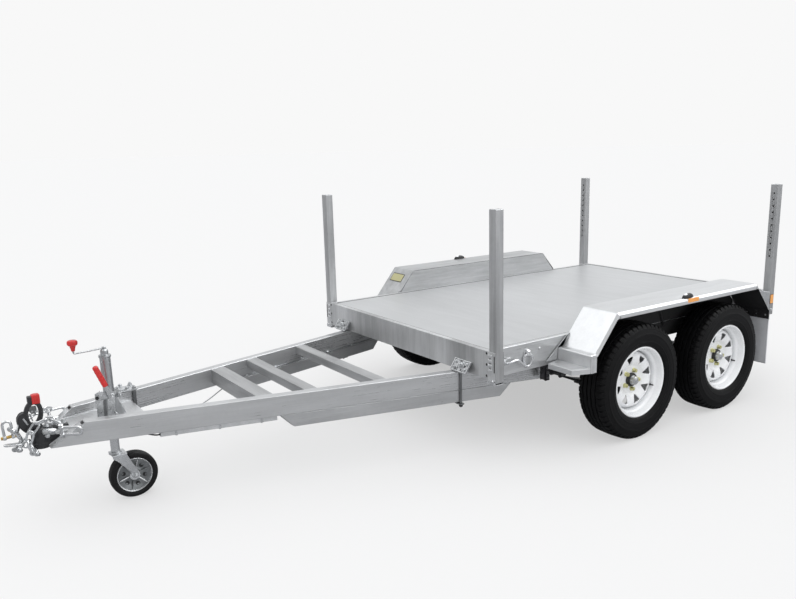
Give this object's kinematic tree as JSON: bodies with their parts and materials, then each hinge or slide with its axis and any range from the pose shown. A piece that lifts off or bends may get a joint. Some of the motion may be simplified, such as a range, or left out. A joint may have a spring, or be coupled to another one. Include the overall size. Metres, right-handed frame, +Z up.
{
  "type": "tandem axle flatbed trailer",
  "caption": "Galvanised flat-top trailer with A-frame drawbar, corner posts, tandem wheels under angular mudguards, ball coupling and jockey wheel.",
  "frame": {"origin": "on the floor, under the middle of the whole trailer's length and width", "axes": "+Y to the rear, -Y along the drawbar to the coupling, +X to the trailer's left side, +Z up"},
  "size_m": [2.09, 4.567, 1.31],
  "materials": {
    "deck_sheet": "plain sheet steel deck, bright, faint rolling streaks",
    "galvanised": "hot-dip galvanised, satin, faint spangle",
    "spring_black": "black painted spring steel, satin",
    "zinc": "bright zinc plate",
    "red_grip": "red moulded grip on zinc rod",
    "coupling_black": "black painted casting",
    "jockey_rubber": "black solid rubber tyre on a grey pressed disc",
    "flap": "grey moulded sheet",
    "amber_lens": "amber reflector",
    "lamp_lens": "red lamp lens",
    "plate_blank": "blank white plate",
    "cable": "steel wire cable",
    "tyre": "black tyre rubber, satin",
    "rim_white": "white gloss paint"
  },
  "bodies": {
    "chassis": {"deck_plate": "deck_sheet", "front_panel": "galvanised", "rear_rail": "galvanised", "side_rail_left": "galvanised", "side_rail_right": "galvanised", "deck_bearers": "galvanised", "drawbar_crossbars": "galvanised", "nose_plate": "galvanised", "drawbar_lower_rails": "galvanised", "drawbar_rail_left": "galvanised", "drawbar_rail_right": "galvanised", "post_front_left": "galvanised", "post_front_right": "galvanised", "post_rear_left": "galvanised", "post_rear_right": "galvanised", "mudguard_left": "galvanised", "mudguard_right": "galvanised", "wiring_conduit": "galvanised", "axle_front": "galvanised", "axle_rear": "galvanised", "springs_left": "spring_black", "springs_right": "spring_black", "panel_clamps": "zinc", "lashing_points": "zinc", "safety_chains": "zinc", "jockey_tube": "zinc", "jockey_clamp": "zinc", "handbrake_quadrant": "zinc", "jockey_crank": "red_grip", "coupling_body": "coupling_black", "coupling_lever": "coupling_black", "mudflaps": "flap", "marker_lamps": "amber_lens", "tail_lamps": "lamp_lens", "number_plate": "plate_blank", "brake_cable": "cable"},
    "wheel_front_left": {"tyre_front_left": "tyre", "rim_front_left": "rim_white"},
    "wheel_front_right": {"tyre_front_right": "tyre", "rim_front_right": "rim_white"},
    "wheel_rear_left": {"tyre_rear_left": "tyre", "rim_rear_left": "rim_white"},
    "wheel_rear_right": {"tyre_rear_right": "tyre", "rim_rear_right": "rim_white"},
    "jockey_inner": {"jockey_leg": "zinc"},
    "jockey_castor": {"jockey_fork": "zinc"},
    "jockey_roller": {"jockey_wheel": "jockey_rubber"},
    "handbrake": {"handbrake_lever": "red_grip"}
  },
  "joints": [
    {"name": "wheel_front_left_spin", "type": "hinge", "parent": "chassis", "child": "wheel_front_left", "pos_m": [0.94, 0.7095, 0.325], "axis": [1, 0, 0], "continuous": true},
    {"name": "wheel_front_right_spin", "type": "hinge", "parent": "chassis", "child": "wheel_front_right", "pos_m": [-0.94, 0.7095, 0.325], "axis": [1, 0, 0], "continuous": true},
    {"name": "wheel_rear_left_spin", "type": "hinge", "parent": "chassis", "child": "wheel_rear_left", "pos_m": [0.94, 1.4895, 0.325], "axis": [1, 0, 0], "continuous": true},
    {"name": "wheel_rear_right_spin", "type": "hinge", "parent": "chassis", "child": "wheel_rear_right", "pos_m": [-0.94, 1.4895, 0.325], "axis": [1, 0, 0], "continuous": true},
    {"name": "jockey_wind", "type": "slide", "parent": "chassis", "child": "jockey_inner", "axis": [0, 0, 1], "range_m": [-0.06, 0.1]},
    {"name": "jockey_swivel", "type": "hinge", "parent": "jockey_inner", "child": "jockey_castor", "pos_m": [0, -1.8085, 0.24], "axis": [0, 0, 1], "continuous": true},
    {"name": "jockey_roll", "type": "hinge", "parent": "jockey_castor", "child": "jockey_roller", "pos_m": [0, -1.7385, 0.112], "axis": [1, 0, 0], "continuous": true},
    {"name": "handbrake_pull", "type": "hinge", "parent": "chassis", "child": "handbrake", "pos_m": [0.065, -1.8135, 0.53], "axis": [1, 0, 0], "range_deg": [-30, 25]}
  ]
}
